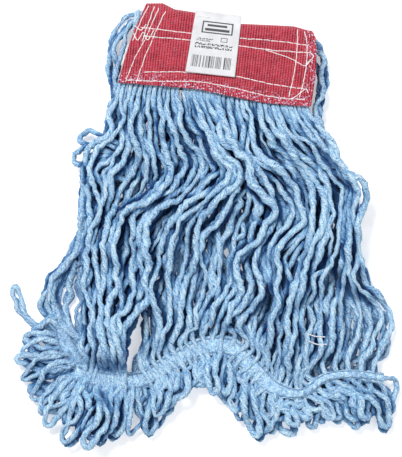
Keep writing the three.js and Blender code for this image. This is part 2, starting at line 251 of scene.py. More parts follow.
# How strongly legs gather into locks at each point of their courses.
LOCK_STRENGTH = np.array([0.0, 0.15, 0.3, 0.45, 0.6, 0.75, 0.8, 0.8, 0.8, 0.7, 0.5])

# Where the loops end: a place on the tail band and the middle of the loop's end.
FRONT_TIPS = [
    (0.00, (-122, -181)), (0.03, (-114, -187)), (0.06, (-101, -182)), (0.10, (-86, -186)),
    (0.125, (-76, -180)), (0.155, (-65, -176)), (0.21, (-48, -172)), (0.24, (-36, -172)),
    (0.27, (-34, -155)), (0.32, (-24, -144)), (0.38, (-8, -131)), (0.44, (4, -128)),
    (0.49, (18, -136)), (0.54, (35, -140)), (0.58, (44, -156)), (0.62, (56, -166)),
    (0.66, (72, -158)), (0.70, (90, -150)), (0.75, (110, -145)), (0.80, (128, -146)),
    (0.86, (146, -145)), (0.92, (158, -143)), (0.96, (166, -142)), (1.00, (171, -134)),
]
BACK_TIPS = [
    (0.085, (-148, -96)), (0.10, (-157, -108)), (0.12, (-156, -127)), (0.14, (-150, -145)),
    (0.16, (-141, -158)), (0.19, (-116, -168)), (0.30, (-62, -163)), (0.36, (-42, -152)),
    (0.45, (-16, -136)), (0.55, (10, -129)), (0.65, (46, -146)), (0.75, (76, -148)),
    (0.85, (110, -143)), (0.93, (138, -140)), (1.00, (160, -134)),
]
SWEEP_START = 0.62       # loops held further along the band than this sweep round to the right


def leg(block, across, layer):
    """Points of the leg at a place across a block, and its place on the tail band.

    The layer's straight is how far the leg is pulled from its course towards a straight line. Legs
    gather into locks, as many as the block's locks, which drift sideways on their way down.
    """
    guides, locks = block
    courses = np.array([points for _, points in guides], float)
    widths = np.linalg.norm(np.diff(courses, axis=0), axis=2).mean(axis=1)
    edges = np.concatenate([[0], np.cumsum(widths)]) / widths.sum()
    turn = 2 * np.pi * locks
    gather = np.sin(turn * (across + layer["drift"] / locks)) / turn
    shifted = np.clip(across + gather * layer["gather"] * LOCK_STRENGTH, 0, 1)
    points = np.array([[np.interp(place, edges, courses[:, k, axis]) for axis in (0, 1)]
                       for k, place in enumerate(shifted)])
    line = points[0] + (points[-1] - points[0]) * np.linspace(0, 1, len(points))[:, None]
    points = points + (line - points) * layer["straight"]
    tucked = np.array([points[0][0] * 0.97, INSIDE_Y])
    return np.vstack([tucked, points]), np.interp(across, edges, [place for place, _ in guides])


def tip_of(tips, place):
    """Where the loop that is held at a place of the tail band ends."""
    return np.array([along_line([(at, xy[k]) for at, xy in tips], place) for k in (0, 1)])


KINK = 0.24              # size of a strand's short kinks, as a share of its sway
CRINKLE = 0.7            # and of its crinkles, in millimetres


def wander(path, amount, hold):
    """Swings a flat path from side to side, with short kinks. It stays put where hold is 0."""
    run = np.arange(len(path)) * YARN_STEP
    swing = np.zeros(len(path))
    for length, share in ((92, 0.50), (47, 0.30), (25, 0.12)):
        swing += share * np.sin(2 * np.pi * (run / (length * rng.uniform(0.85, 1.15)) + rng.uniform()))
    kinks = np.cumsum(rng.uniform(7, 17, len(path) // 4 + 4))
    swing += np.interp(run, kinks, rng.normal(0, KINK, len(kinks)))
    along = unit(np.gradient(path, axis=0))
    across = np.column_stack([-along[:, 1], along[:, 0]])
    crinkle = CRINKLE * blurred(rng.normal(size=len(path)), 1)
    return path + across * (swing * amount * hold + crinkle * np.minimum(hold * 2, 1))[:, None]


def loop_path(block, band, tips, across, layer):
    """Flat path of one loop of yarn: down a leg, round the loop's end and up the next leg.

    across holds the two legs' places in the block.
    """
    legs = [leg(block, place, layer) for place in across]
    places = [place for _, place in legs]
    half = band.width / 2 + 3
    crossings = [np.array([band.at(p, offset) for offset in (half, 0, -half)]) for p in places]
    start = (crossings[0][2] + crossings[1][2]) / 2
    tip = tip_of(tips, sum(places) / 2) + rng.uniform(-1, 1, 2) * layer["stray"]
    tip = start + (tip - start) * rng.uniform(*layer["reach"])
    along = unit(tip - start)
    side = np.array([along[1], -along[0]])
    if side @ (crossings[0][2] - crossings[1][2]) < 0:
        side = -side
    length = np.linalg.norm(tip - start)
    eye = rng.uniform(3.0, 5.4)
    upward = side if side[1] > 0 else -side
    sweep = 0.22 * smoothstep((places[0] - SWEEP_START) / 0.1)
    bow = (rng.uniform(-0.035, 0.035) * layer["stray"] * side + sweep * upward) * length
    halfway = [start + along * length * 0.45 + side * eye * sign * 1.1 + bow for sign in (1, -1)]
    bend = [tip - along * eye * 1.4 + side * eye * sign for sign in (1, -1)]
    points = [*legs[0][0], *crossings[0], halfway[0], bend[0], tip + along * eye * 0.3,
              bend[1], halfway[1], *crossings[1][::-1], *legs[1][0][::-1]]
    path = curve_through(points, YARN_STEP)
    below = smoothstep((HEM_Y - path[:, 1]) / 16)
    clear = smoothstep((band.away(path) - 4) / 18)
    fringe = 1 - 0.65 * smoothstep((start[1] - path[:, 1]) / 12)
    return wander(path, layer["sway"] * rng.uniform(0.6, 1.7), below * clear * fringe)


# ---- the heap ----------------------------------------------------------------------------------

# Painted shade: the yarn's colour darkens with how deep it lies among other strands, in place of the shade
# they cast on each other.
DEPTH_SCALE = 8.5        # yarn buried this deep is at its darkest
BURIED_SHARE = 0.3       # how much a half darkens where the other half covers it


class Heap:
    """Heights of the yarn already laid, in cells of one millimetre."""

    LEFT, LOW, COLUMNS, ROWS, REACH, BRIM_REACH = -195, -215, 390, 430, 3, 3
    EMPTY = 99.0

    def __init__(self, strands=()):
        self.top = np.zeros((self.ROWS, self.COLUMNS))
        self.under = np.full((self.ROWS, self.COLUMNS), self.EMPTY)
        offsets = np.arange(-self.REACH, self.REACH + 1)
        dx, dy = np.meshgrid(offsets, offsets)
        near = dx**2 + dy**2 <= self.REACH**2
        self.dx, self.dy = dx[near], dy[near]
        self.away = (self.dx**2 + self.dy**2).astype(float)
        for path, radius in strands:
            self.add(path[:, :2], path[:, 2], radius)

    def cells(self, path):
        column = np.rint(path[:, 0] - self.LEFT).astype(int)
        row = np.rint(path[:, 1] - self.LOW).astype(int)
        column = np.clip(column, self.REACH, self.COLUMNS - self.REACH - 1)
        row = np.clip(row, self.REACH, self.ROWS - self.REACH - 1)
        return row[:, None] + self.dy, column[:, None] + self.dx

    def support(self, path, radius):
        """Height at which the middle of a strand of that radius rests on what lies below it."""
        reach = (radius**2)[:, None]
        lift = np.sqrt(np.maximum(reach - self.away, 0))
        touch = np.where(self.away < reach, self.top[self.cells(path)] + lift, 0)
        return np.maximum(touch.max(axis=1), radius * 0.95)

    def add(self, path, z, radius):
        reach = (radius**2)[:, None]
        lift = np.sqrt(np.maximum(reach - self.away, 0))
        covered = self.away < reach
        cells = self.cells(path)
        np.maximum.at(self.top, cells, np.where(covered, z[:, None] + lift, 0))
        np.minimum.at(self.under, cells, np.where(covered, z[:, None] - lift, self.EMPTY))

    def widen(self, heights, choose):
        """Each cell's chosen extreme of the heights within a few millimetres of it, smoothed."""
        for _ in range(self.BRIM_REACH):
            sides = [np.roll(heights, step, axis) for step in (-1, 1) for axis in (0, 1)]
            heights = choose.reduce([heights, *sides])
        return np.apply_along_axis(blurred, 0, np.apply_along_axis(blurred, 1, heights, 2), 2)

    def find_brims(self):
        self.upper_brim = self.widen(self.top, np.maximum)
        self.lower_brim = self.widen(self.under, np.minimum)

    def cell(self, x, y):
        column = np.clip(np.rint(x - self.LEFT).astype(int), 0, self.COLUMNS - 1)
        row = np.clip(np.rint(y - self.LOW).astype(int), 0, self.ROWS - 1)
        return row, column

    def highest(self, points, reach):
        """Highest yarn at flat points and at eight others round each, reach away in x and y."""
        steps = (-reach, 0, reach)
        return np.max([self.top[self.cell(points[:, 0] + dx, points[:, 1] + dy)]
                       for dx in steps for dy in steps], axis=0)

    def depth(self, corners, from_below=True):
        """How deep corners are buried in the yarn around them, as a share of DEPTH_SCALE. The yarn's painted
        shade is set from it.
        """
        cell = self.cell(corners[:, 0], corners[:, 1])
        depth = (self.upper_brim[cell] - corners[:, 2]) / DEPTH_SCALE
        if from_below:
            depth = np.minimum(depth, (corners[:, 2] - self.lower_brim[cell]) / DEPTH_SCALE + 0.12)
        return np.clip(depth, 0, 1)


SAG = 0.026              # how sharply a strand bends down between supports, per millimetre
SAG_REACH = 13
DIVE = 3.0               # how far a strand sinks in among those below it, here and there
LIMIT_EASE = 9.0         # how far below a layer's height limit its strands start to flatten out


def drape(needed):
    """Lowest smooth line that clears the needed heights and bends only so sharply."""
    line = needed.copy()
    for k in range(1, SAG_REACH + 1):
        drop = SAG * (k * YARN_STEP) ** 2
        line[k:] = np.maximum(line[k:], needed[:-k] - drop)
        line[:-k] = np.maximum(line[:-k], needed[k:] - drop)
    return blurred(line, 5)


def eased(z, limit):
    """Heights that flatten out gently instead of rising above a limit."""
    over = np.maximum(z - limit + LIMIT_EASE, 0)
    return z - over + LIMIT_EASE * np.tanh(0.7 * over / LIMIT_EASE)


def yarn_radius(path, band):
    """A strand's radius along it: squeezed where the headband and the tail band hold it."""
    hem = 0.76 + 0.24 * smoothstep((HEM_Y - path[:, 1]) / 20)
    tail = 0.80 + 0.20 * smoothstep((band.away(path) - 5) / 12)
    short, long = (blurred(rng.normal(size=len(path)), times) for times in (3, 60))
    return YARN_RADIUS * rng.uniform(0.74, 1.08) * hem * tail * (1 + 0.22 * short + 0.45 * long)


def lay_loop(heap, path, radius, layer, band):
    """Lays one loop on the heap, one leg after the other, and gives its path in space."""
    held = path[:, 1] > HEM_Y
    under_cover = layer["hem_top"] - rng.uniform(0, 2) - STRAND_FLATNESS * radius
    under_cover = under_cover + HEM_RISE * np.maximum(HEM_Y + 5 - path[:, 1], 0)
    over_lining = layer["lining_top"] + STRAND_FLATNESS * radius - np.maximum(LINING_EDGE_Y - path[:, 1], 0)
    near_band = 1 - smoothstep((band.away(path) - 5) / 22)
    packed = radius * layer["squeeze"]
    turns = np.cumsum(rng.uniform(16, 40, len(path) // 8 + 4))
    along = np.arange(len(path)) * YARN_STEP
    dive = DIVE * smoothstep(np.interp(along, turns, rng.uniform(-0.8, 1.0, len(turns))))

    def rest():
        resting = heap.support(path, packed)
        resting = np.maximum(resting - dive, radius)
        z = drape(np.where(held, layer["hem_z"], resting))
        z = z + (np.minimum(z, layer["band_z"]) - z) * near_band
        return np.maximum(np.minimum(eased(z, layer["limit"]), under_cover), over_lining)

    z = rest()
    turn = int(np.argmin(path[:, 1]))
    heap.add(path[:turn], z[:turn], packed[:turn])
    past_turn = smoothstep((np.arange(len(path)) - turn - 5) / 8)
    z = z + (rest() - z) * past_turn
    heap.add(path[turn:], z[turn:], packed[turn:])
    return np.column_stack([path, z])


# ---- meshes ------------------------------------------------------------------------------------

RING = 12                                    # corners round a strand, three for each ply
PLY_PROFILE = np.tile([0.88, 1.01, 1.01], 4)
ROUGHNESS = 0.15                             # how uneven a strand's surface is
FLOOR_GAP = 0.2                              # no yarn comes closer to the floor


def tube_faces(rings, corners, first):
    """Quads round a tube and one flat face at each end. Its corners are numbered from first."""
    start = first + np.arange(rings - 1)[:, None] * corners
    i = np.arange(corners)[None]
    j = (i + 1) % corners
    quads = np.stack([start + i, start + j, start + corners + j, start + corners + i], axis=-1)
    last = first + (rings - 1) * corners
    ends = [list(range(first, first + corners))[::-1], list(range(last, last + corners))]
    return quads.reshape(-1, 4).tolist() + ends


def tube_frame(path):
    along = unit(np.gradient(path, axis=0))
    side = np.cross(along, [0.0, 0.0, 1.0])
    weak = np.linalg.norm(side, axis=1) < 0.15
    side[weak] = np.cross(along[weak], [1.0, 0.0, 0.0])
    side = unit(side)
    return side, np.cross(side, along)


def yarn_strand(path, radius):
    """Corners and material values of a four-ply twisted strand along a path."""
    side, up = tube_frame(path)
    run = np.arange(len(path)) * np.linalg.norm(np.diff(path, axis=0), axis=1).mean()
    base = np.arange(RING) * 2 * np.pi / RING
    turns = run / (TWIST_PITCH * rng.uniform(0.85, 1.2)) + 0.5 * blurred(rng.normal(size=len(path)), 60)
    angle = base[None] + (turns * 2 * np.pi + rng.uniform(0, 6))[:, None]
    uneven = blurred(rng.normal(size=(len(path), RING)), 1)
    reach = radius[:, None] * (PLY_PROFILE[None] + ROUGHNESS * uneven)
    reach[[0, -1]] *= 0.4
    corners = (path[:, None] + side[:, None] * (np.cos(angle) * reach)[..., None]
               + up[:, None] * (STRAND_FLATNESS * np.sin(angle) * reach)[..., None])
    shift = rng.uniform(0, 400)
    fibre = np.stack(np.broadcast_arrays(
        run[:, None] * 0.35 + shift, np.cos(base)[None] * 2.6, np.sin(base)[None] * 2.6), axis=-1)
    # ply is 1 on the plies' crests and 0 in the grooves between them; the yarn's material paints shade in the
    # grooves from it.
    ply = np.broadcast_to((PLY_PROFILE > 0.9).astype(float), angle.shape)
    return corners.reshape(-1, 3), fibre.reshape(-1, 3), ply.reshape(-1)


def mesh_object(name, corners, faces, material, values=None, vectors=None):
    """A smooth mesh object, with corners in millimetres and named values for its material."""
    mesh = bpy.data.meshes.new(name)
    mesh.from_pydata((np.asarray(corners) / 1000).tolist(), [], [list(f) for f in faces])
    mesh.polygons.foreach_set("use_smooth", np.ones(len(mesh.polygons), bool))
    for key, data in (values or {}).items():
        mesh.attributes.new(key, "FLOAT", "POINT").data.foreach_set("value", np.asarray(data, np.float32))
    for key, data in (vectors or {}).items():
        flat = np.asarray(data, np.float32).reshape(-1)
        mesh.attributes.new(key, "FLOAT_VECTOR", "POINT").data.foreach_set("vector", flat)
    mesh.materials.append(material)
    piece = bpy.data.objects.new(name, mesh)
    bpy.context.scene.collection.objects.link(piece)
    return piece


def attach(piece, body, slot, *nodes):
    """The piece rides a body and stands for those CAD nodes. slot is not used."""
    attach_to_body(piece, body)
    if nodes:
        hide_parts(*nodes)


def yarn_piece(name, strands, half, material):
    """One object from several strands, each a path and its radii. half is the heap they belong to."""
    corners, faces, fibre, ply = [], [], [], []
    count = 0
    for path, radius in strands:
        strand_corners, strand_fibre, strand_ply = yarn_strand(path, radius)
        faces.extend(tube_faces(len(path), RING, count))
        corners.append(strand_corners)
        fibre.append(strand_fibre)
        ply.append(strand_ply)
        count += len(strand_corners)
    corners = np.vstack(corners)
    corners[:, 2] = np.maximum(corners[:, 2], FLOOR_GAP)
    # Painted shade: the larger of how deep each corner lies in its own half's yarn and a share of how deep it
    # lies in the whole heap.
    depth = np.zeros(len(corners))
    if half is not None:
        depth = np.maximum(half.depth(corners), BURIED_SHARE * heap.depth(corners, from_below=False))
    return mesh_object(name, corners, faces, material,
                       {"ply": np.concatenate(ply), "depth": depth}, {"fibre": np.vstack(fibre)})


def tube_piece(name, paths, radius, material):
    """One object from plain round tubes along paths, such as sewing threads."""
    corners_round = 6
    corners, faces = [], []
    count = 0
    for path in paths:
        side, up = tube_frame(path)
        angle = np.arange(corners_round) * 2 * np.pi / corners_round
        ring = (path[:, None] + side[:, None] * (np.cos(angle) * radius)[None, :, None]
                + up[:, None] * (np.sin(angle) * radius)[None, :, None])
        faces.extend(tube_faces(len(path), corners_round, count))
        corners.append(ring.reshape(-1, 3))
        count += len(path) * corners_round
    return mesh_object(name, np.vstack(corners), faces, material)


def shell_piece(name, grid, thickness, material, values=None, level=False):
    """A closed sheet from rows and columns of points on its middle surface.

    Its thickness is measured straight up where level is set, and across the sheet elsewhere.
    """
    rows, columns = grid.shape[:2]
    normal = unit(np.cross(np.gradient(grid, axis=1), np.gradient(grid, axis=0)))
    if level:
        normal = np.zeros_like(grid) + [0.0, 0.0, 1.0]
    if normal[0, columns // 2, 2] < 0:
        normal = -normal
    upper, lower = grid + normal * thickness / 2, grid - normal * thickness / 2
    index = np.arange(rows * columns).reshape(rows, columns)
    a, b = index[:-1, :-1].ravel(), index[:-1, 1:].ravel()
    c, d = index[1:, 1:].ravel(), index[1:, :-1].ravel()
    base = rows * columns
    quads = [np.column_stack([a, b, c, d]), np.column_stack([d, c, b, a]) + base]
    rim = np.concatenate([index[0], index[1:, -1], index[-1, -2::-1], index[-2:0:-1, 0]])
    after = np.roll(rim, -1)
    quads.append(np.column_stack([after, rim, rim + base, after + base]))
    both = {key: np.tile(np.asarray(data).ravel(), 2) for key, data in (values or {}).items()}
    corners = np.vstack([upper.reshape(-1, 3), lower.reshape(-1, 3)])
    return mesh_object(name, corners, np.vstack(quads), material, both)


# ---- materials ---------------------------------------------------------------------------------

def add_node(tree, kind, inputs=None, **settings):
    """A shader node with its settings. Inputs are numbers, colours or other nodes' outputs."""
    made = tree.nodes.new(kind)
    for key, value in settings.items():
        setattr(made, key, value)
    for key, value in (inputs or {}).items():
        if isinstance(value, bpy.types.NodeSocket):
            tree.links.new(value, made.inputs[key])
        else:
            made.inputs[key].default_value = value
    return made


def new_material(name, roughness, sheen=0.0):
    material = bpy.data.materials.new(name)
    material.use_nodes = True
    tree = material.node_tree
    shader = tree.nodes["Principled BSDF"]
    shader.inputs["Roughness"].default_value = roughness
    shader.inputs["Sheen Weight"].default_value = sheen
    shader.inputs["Specular IOR Level"].default_value = 0.25
    return material, tree, shader


def noise(tree, vector, scale, detail=2.0):
    made = add_node(tree, "ShaderNodeTexNoise", {"Vector": vector, "Scale": scale, "Detail": detail})
    return made.outputs["Fac"]


def math_node(tree, operation, a, b=0.0):
    return add_node(tree, "ShaderNodeMath", {0: a, 1: b}, operation=operation).outputs[0]


def times(tree, a, b):
    return math_node(tree, "MULTIPLY", a, b)


def times_plus(tree, a, b, c):
    """a times b, plus c."""
    product = math_node(tree, "MULTIPLY_ADD", a, b)
    product.node.inputs[2].default_value = c
    return product


def ramp(tree, value, stops):
    """A colour ramp with stops of (position, colour)."""
    made = add_node(tree, "ShaderNodeValToRGB", {"Fac": value})
    elements = made.color_ramp.elements
    while len(elements) < len(stops):
        elements.new(0.5)
    for element, (position, colour) in zip(elements, stops):
        element.position = position
        element.color = (*colour, 1) if len(colour) == 3 else (colour[0], colour[0], colour[0], 1)
    return made.outputs["Color"]


def mix(tree, share, a, b, blend="MIX"):
    made = add_node(tree, "ShaderNodeMix", data_type="RGBA", blend_type=blend)
    for socket, value in ((made.inputs[0], share), (made.inputs[6], a), (made.inputs[7], b)):
        if isinstance(value, bpy.types.NodeSocket):
            tree.links.new(value, socket)
        else:
            socket.default_value = value if np.isscalar(value) else (*value, 1)
    return made.outputs[2]


def attribute(tree, name, output):
    return add_node(tree, "ShaderNodeAttribute", attribute_name=name).outputs[output]


def add_bump(tree, shader, height, strength, distance_mm):
    bump = add_node(tree, "ShaderNodeBump", {
        "Height": height, "Strength": strength, "Distance": distance_mm / 1000})
    tree.links.new(bump.outputs["Normal"], shader.inputs["Normal"])


# Painted shade: what yarn's colour is multiplied by, from its surface down to the deepest gaps.
PAINTED_DEPTH_SHADE = [(0.05, (1.0, 1.0, 1.0)), (0.28, (0.64, 0.78, 0.90)), (0.62, (0.14, 0.30, 0.50)),
               (0.95, (0.012, 0.09, 0.26))]
FLECK = (0.86, 0.88, 0.94)


def yarn_material(name, deep, middle, light):
    """Heathered twisted yarn: mottled fibres and pale flecks, with painted shade in the grooves between the
    plies and deeper painted shade where the yarn lies buried.
    """
    material, tree, shader = new_material(name, 0.92, 0.2)
    fibre = attribute(tree, "fibre", "Vector")
    mottle = noise(tree, fibre, 2.1, 3.0)
    tones = noise(tree, fibre, 0.28, 2.0)
    tone = math_node(tree, "ADD", times(tree, mottle, 0.7), times(tree, tones, 0.3))
    body = ramp(tree, tone, [(0.43, deep), (0.49, middle), (0.57, light)])
    pale = ramp(tree, noise(tree, fibre, 2.2, 1.0), [(0.54, (0.0,)), (0.63, (0.9,))])
    body = mix(tree, pale, body, FLECK)
    # Painted shade: the grooves between the plies, and the yarn's depth among other strands, darken its
    # colour.
    groove_shade = times_plus(tree, attribute(tree, "ply", "Fac"), 0.2, 0.8)
    body = mix(tree, 1.0, body, groove_shade, "MULTIPLY")
    depth = ramp(tree, attribute(tree, "depth", "Fac"), PAINTED_DEPTH_SHADE)
    body = mix(tree, 1.0, body, depth, "MULTIPLY")
    tree.links.new(body, shader.inputs["Base Color"])
    add_bump(tree, shader, mottle, 0.8, 0.4)
    return material


RIB_PITCH = 2.2          # from one rib of the headband's mesh to the next
LINING_PITCH = 1.6
WEFT_PITCH = 1.4         # and between the threads that cross the ribs
SHOW_THROUGH = (0.60, 0.56, 0.74)


def cloth_material(name, deep, light, rib_pitch, dots):
    """Ribbed woven mesh. Yarn shows through as pale dots near its margins where dots is set."""
    material, tree, shader = new_material(name, 0.85, 0.15)
    place = add_node(tree, "ShaderNodeTexCoord").outputs["Object"]
    split = add_node(tree, "ShaderNodeSeparateXYZ", {0: place})
    cross = math_node(tree, "SINE", times(tree, split.outputs["Y"], 2 * math.pi * 1000 / WEFT_PITCH))
    rib = math_node(tree, "SINE", times(tree, split.outputs["X"], 2 * math.pi * 1000 / rib_pitch))
    weave = times_plus(tree, math_node(tree, "ADD", rib, times(tree, cross, 0.7)), 0.30, 0.5)
    worn = noise(tree, place, 160.0, 4.0)
    tone = math_node(tree, "ADD", times(tree, weave, 0.55), times(tree, worn, 0.45))
    body = ramp(tree, tone, [(0.30, deep), (0.62, light)])
    if dots:
        specks = add_node(tree, "ShaderNodeTexVoronoi", {"Vector": place, "Scale": 640.0})
        near = ramp(tree, specks.outputs["Distance"], [(0.28, (1.0,)), (0.44, (0.0,))])
        chosen = ramp(tree, noise(tree, place, 400.0, 1.0), [(0.42, (0.0,)), (0.50, (1.0,))])
        shown = times(tree, times(tree, near, chosen), attribute(tree, "margin", "Fac"))
        body = mix(tree, shown, body, SHOW_THROUGH)
    tree.links.new(body, shader.inputs["Base Color"])
    add_bump(tree, shader, weave, 0.5, 0.25)
    return material


def thread_material(name, colour):
    material, tree, shader = new_material(name, 0.7, 0.2)
    place = add_node(tree, "ShaderNodeTexCoord").outputs["Object"]
    shade = noise(tree, place, 900.0, 2.0)
    dark = tuple(0.72 * c for c in colour)
    tree.links.new(ramp(tree, shade, [(0.35, dark), (0.6, colour)]), shader.inputs["Base Color"])
    add_bump(tree, shader, shade, 0.4, 0.1)
    return material


# The label's marks as shares of its width and height: left, right, low, high. None of them is writing.
FRAME_MARK = ((0.19, 0.85, 0.65, 0.84), (0.22, 0.82, 0.67, 0.82))
BOX_MARK = ((0.62, 0.76, 0.53, 0.60), (0.635, 0.745, 0.54, 0.59))
BAR_MARKS = ((0.26, 0.78, 0.69, 0.73), (0.30, 0.72, 0.76, 0.795))
SPECK_LINES = ((0.12, 0.46, 0.545, 0.565), (0.12, 0.40, 0.515, 0.535),
               (0.10, 0.88, 0.455, 0.491), (0.10, 0.88, 0.405, 0.441))
STRIPE_MARK = (0.08, 0.90, 0.10, 0.29)


def label_material():
    """White printed film with plain bars and specks that spell nothing."""
    material, tree, shader = new_material("label_film", 0.45)
    across = attribute(tree, "across", "Fac")
    up = attribute(tree, "up", "Fac")

    def inside(value, low, high):
        above = math_node(tree, "GREATER_THAN", value, low)
        return times(tree, above, math_node(tree, "LESS_THAN", value, high))

    def patch(left, right, low, high):
        return times(tree, inside(across, left, right), inside(up, low, high))

    def outline(outer, inner):
        return math_node(tree, "SUBTRACT", patch(*outer), patch(*inner))

    def together(parts):
        total = parts[0]
        for part in parts[1:]:
            total = math_node(tree, "MAXIMUM", total, part)
        return total

    run = add_node(tree, "ShaderNodeCombineXYZ", {"X": across, "Y": up})
    specks = math_node(tree, "GREATER_THAN", noise(tree, run.outputs[0], 38.0, 0.0), 0.47)
    lines = times(tree, together([patch(*line) for line in SPECK_LINES]), specks)
    stripe_place = add_node(tree, "ShaderNodeCombineXYZ", {"X": across})
    stripes = math_node(tree, "GREATER_THAN", noise(tree, stripe_place.outputs[0], 70.0, 0.0), 0.5)
    stripes = times(tree, stripes, patch(*STRIPE_MARK))
    bars = [patch(*mark) for mark in BAR_MARKS]
    ink = together([outline(*FRAME_MARK), *bars, lines, stripes, outline(*BOX_MARK)])
    shade = noise(tree, run.outputs[0], 6.0, 2.0)
    paper = ramp(tree, shade, [(0.3, (0.66, 0.66, 0.68)), (0.7, (0.74, 0.74, 0.76))])
    tree.links.new(mix(tree, times(tree, ink, 0.95), paper, (0.05, 0.05, 0.06)), shader.inputs["Base Color"])
    return material


YARN = yarn_material("front_yarn", (0.10, 0.28, 0.52), (0.31, 0.60, 0.87), (0.66, 0.90, 1.0))
BACK_YARN = yarn_material("back_yarn", (0.08, 0.23, 0.44), (0.25, 0.51, 0.78), (0.56, 0.82, 0.98))
MESH_CLOTH = cloth_material(
    "headband_mesh", (0.155, 0.006, 0.016), (0.57, 0.062, 0.092), RIB_PITCH, dots=True)
LINING_CLOTH = cloth_material(
    "headband_lining", (0.25, 0.03, 0.04), (0.42, 0.06, 0.08), LINING_PITCH, dots=False)
WHITE_THREAD = thread_material("white_thread", (0.97, 0.94, 0.94))
BLUE_THREAD = thread_material("blue_thread", (0.20, 0.33, 0.52))
LABEL_FILM = label_material()


# ---- loops of yarn -----------------------------------------------------------------------------

# Loops that have slipped: each is the points of its course. Those of the skirt's left side bulge out
# of it. The others belong to the fringe, and their ends are hidden in a tail band.
BULGE_LOOPS = [
    [(-88, 66), (-103, 73), (-118, 77), (-127, 72), (-125, 66), (-112, 65), (-90, 58)],
    [(-86, 60), (-100, 66), (-116, 66), (-127, 59), (-128, 50), (-116, 50), (-100, 54), (-84, 48)],
    [(-84, 52), (-98, 58), (-112, 55), (-121, 46), (-120, 36), (-108, 37), (-94, 42), (-80, 38)],
    [(-78, 44), (-90, 50), (-106, 46), (-114, 36), (-110, 24), (-98, 24), (-86, 32)],
]
FRONT_FRINGE = [
    (0.005, (-134, -158)), (0.02, (-128, -173)), (0.05, (-106, -187)), (0.09, (-92, -176)),
    (0.13, (-80, -185)), (0.17, (-62, -172)), (0.185, (-54, -175)), (0.21, (-42, -162)),
    (0.27, (-26, -154)), (0.30, (-30, -136)), (0.57, (36, -152)), (0.60, (56, -172)),
    (0.66, (60, -148)), (0.70, (104, -152)), (0.75, (122, -140)), (0.79, (140, -150)),
    (0.84, (150, -136)), (0.89, (163, -146)), (0.94, (167, -130)),
]
BACK_FRINGE = [
    (0.02, (-138, -88)), (0.05, (-150, -97)), (0.07, (-154, -106)), (0.09, (-152, -118)),
    (0.11, (-158, -124)), (0.13, (-152, -138)), (0.15, (-142, -152)), (0.17, (-132, -164)),
    (0.33, (-46, -160)), (0.40, (-30, -146)), (0.60, (26, -143)), (0.70, (62, -154)),
    (0.90, (132, -144)), (0.97, (156, -138)),
]
END_SINK = 2.5           # how far the ends of a slipped loop sink in


def slipped_loop(points, sway):
    """Flat path of a short loop whose two ends stay where they are."""
    path = curve_through(points, YARN_STEP)
    return wander(path, sway, free_between_ends(len(path), 6))


def fringe_loop(band, place, tip):
    """A loop whose two ends are in the tail band and whose end lies at the tip."""
    ends = [band.at(place + shift, 0.0) for shift in (-0.012, 0.012)]
    tip = np.array(tip) + rng.uniform(-3, 3, 2)
    along = unit(tip - (ends[0] + ends[1]) / 2)
    side = np.array([-along[1], along[0]])
    if side @ (ends[1] - ends[0]) < 0:
        side = -side
    eye = rng.uniform(3.0, 5.0)
    length = np.linalg.norm(tip - ends[0])
    sweep = 0.22 * smoothstep((place - SWEEP_START) / 0.1) if band is FRONT_TAIL else 0.0
    bow = (rng.uniform(-0.18, 0.18) * side * (1 - 3 * sweep) + sweep * side * np.sign(side[1])) * length
    half_way = along * length * 0.5 + bow
    neck = tip - along * eye * 1.3
    points = [ends[0], ends[0] + half_way - side * eye, neck - side * eye, tip,
              neck + side * eye, ends[1] + half_way + side * eye, ends[1]]
    return slipped_loop(points, 1.6)


def lay_slipped(heap, paths, layer):
    """Lays slipped loops on the heap. Their ends sink into the yarn that holds them."""
    laid = []
    for path in paths:
        radius = YARN_RADIUS * rng.uniform(0.72, 1.0) * (1 + 0.22 * blurred(rng.normal(size=len(path)), 3))
        z = drape(heap.support(path, radius * layer["squeeze"]))
        sunk = 1 - free_between_ends(len(path), 8)
        z = np.maximum(eased(z, layer["limit"]) - END_SINK * sunk, radius * 0.95)
        heap.add(path, z, radius * layer["squeeze"])
        laid.append((np.column_stack([path, z]), radius))
    return laid


def lay_layer(heap, blocks, band, tips, layer):
    """Lays one layer of loops. blocks holds each block of guides, its locks and its number of loops."""
    layer["drift"] = rng.uniform() + np.cumsum(rng.normal(0, 0.10, len(LOCK_STRENGTH)))
    plans = []
    for *block, loops in blocks:
        places = (np.arange(2 * loops) + 0.5) / (2 * loops)
        places = places + rng.uniform(-0.15, 0.15, 2 * loops) / (2 * loops)
        plans.extend([(block, places[2 * i:2 * i + 2]) for i in range(loops)])
    laid = [None] * len(plans)
    for i in rng.permutation(len(plans)):
        block, across = plans[i]
        path = loop_path(block, band, tips, across, layer)
        radius = yarn_radius(path, band)
        laid[i] = (lay_loop(heap, path, radius, layer, band), radius)
    return laid


